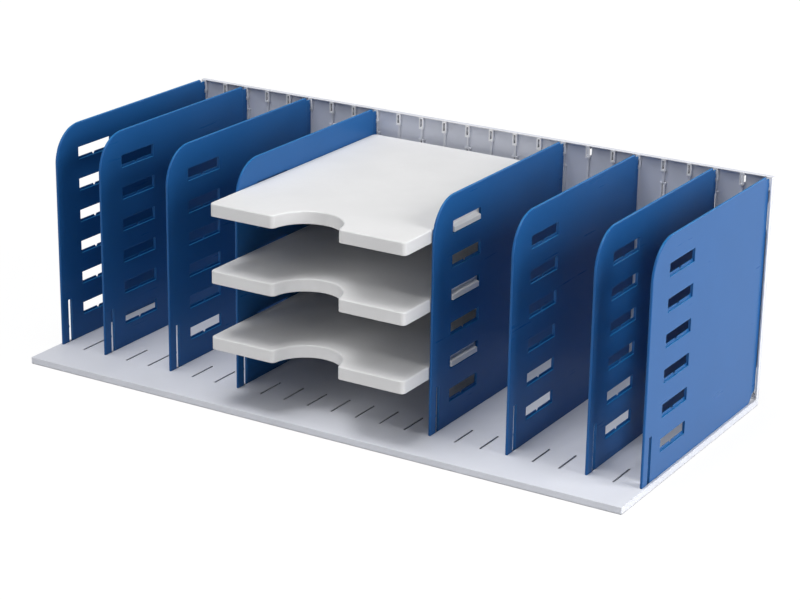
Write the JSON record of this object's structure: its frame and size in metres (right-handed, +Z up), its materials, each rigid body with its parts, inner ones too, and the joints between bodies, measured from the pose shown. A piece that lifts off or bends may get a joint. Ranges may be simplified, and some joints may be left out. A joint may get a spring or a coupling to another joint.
{
  "type": "desk sorting station",
  "caption": "Wide desk sorting station: slotted base plate and rear panel, plug-in upright dividers with lug holes, and shelves with a finger cut-out hung between two dividers.",
  "frame": {"origin": "on the table, under the middle of the base plate", "axes": "+X to the right along the row of dividers, +Y to the rear panel, +Z up"},
  "size_m": [0.723, 0.331, 0.2566],
  "materials": {
    "pale_grey_plastic": "fine satin moulding",
    "blue_plastic": "satin moulding",
    "white_plastic": "fine satin moulding",
    "foot_rubber": "soft matt pad"
  },
  "bodies": {
    "base": {"base_plate": "pale_grey_plastic", "rear_panel": "pale_grey_plastic", "foot_front_left": "foot_rubber", "foot_front_middle": "foot_rubber", "foot_front_right": "foot_rubber", "foot_rear_left": "foot_rubber", "foot_rear_middle": "foot_rubber", "foot_rear_right": "foot_rubber"},
    "divider_1": {"divider_1": "blue_plastic"},
    "divider_2": {"divider_2": "blue_plastic"},
    "divider_3": {"divider_3": "blue_plastic"},
    "divider_6": {"divider_6": "blue_plastic"},
    "divider_7": {"divider_7": "blue_plastic"},
    "divider_8": {"divider_8": "blue_plastic"},
    "shelf_tower": {"divider_4": "blue_plastic", "divider_5": "blue_plastic"},
    "shelf_top": {"shelf_top": "white_plastic"},
    "shelf_middle": {"shelf_middle": "white_plastic"},
    "shelf_bottom": {"shelf_bottom": "white_plastic"}
  },
  "joints": [
    {"name": "divider_1_release", "type": "slide", "parent": "base", "child": "divider_1", "axis": [0, -0.7071, 0.7071], "range_m": [0, 0.36]},
    {"name": "divider_2_release", "type": "slide", "parent": "base", "child": "divider_2", "axis": [0, -0.7071, 0.7071], "range_m": [0, 0.36]},
    {"name": "divider_3_release", "type": "slide", "parent": "base", "child": "divider_3", "axis": [0, -0.7071, 0.7071], "range_m": [0, 0.36]},
    {"name": "divider_6_release", "type": "slide", "parent": "base", "child": "divider_6", "axis": [0, -0.7071, 0.7071], "range_m": [0, 0.36]},
    {"name": "divider_7_release", "type": "slide", "parent": "base", "child": "divider_7", "axis": [0, -0.7071, 0.7071], "range_m": [0, 0.36]},
    {"name": "divider_8_release", "type": "slide", "parent": "base", "child": "divider_8", "axis": [0, -0.7071, 0.7071], "range_m": [0, 0.36]},
    {"name": "shelf_tower_release", "type": "slide", "parent": "base", "child": "shelf_tower", "axis": [0, -0.7071, 0.7071], "range_m": [0, 0.36]},
    {"name": "shelf_top_play", "type": "slide", "parent": "shelf_tower", "child": "shelf_top", "axis": [0, 0, 1], "range_m": [0, 0.0025]},
    {"name": "shelf_middle_play", "type": "slide", "parent": "shelf_tower", "child": "shelf_middle", "axis": [0, 0, 1], "range_m": [0, 0.0025]},
    {"name": "shelf_bottom_play", "type": "slide", "parent": "shelf_tower", "child": "shelf_bottom", "axis": [0, 0, 1], "range_m": [0, 0.0025]}
  ]
}
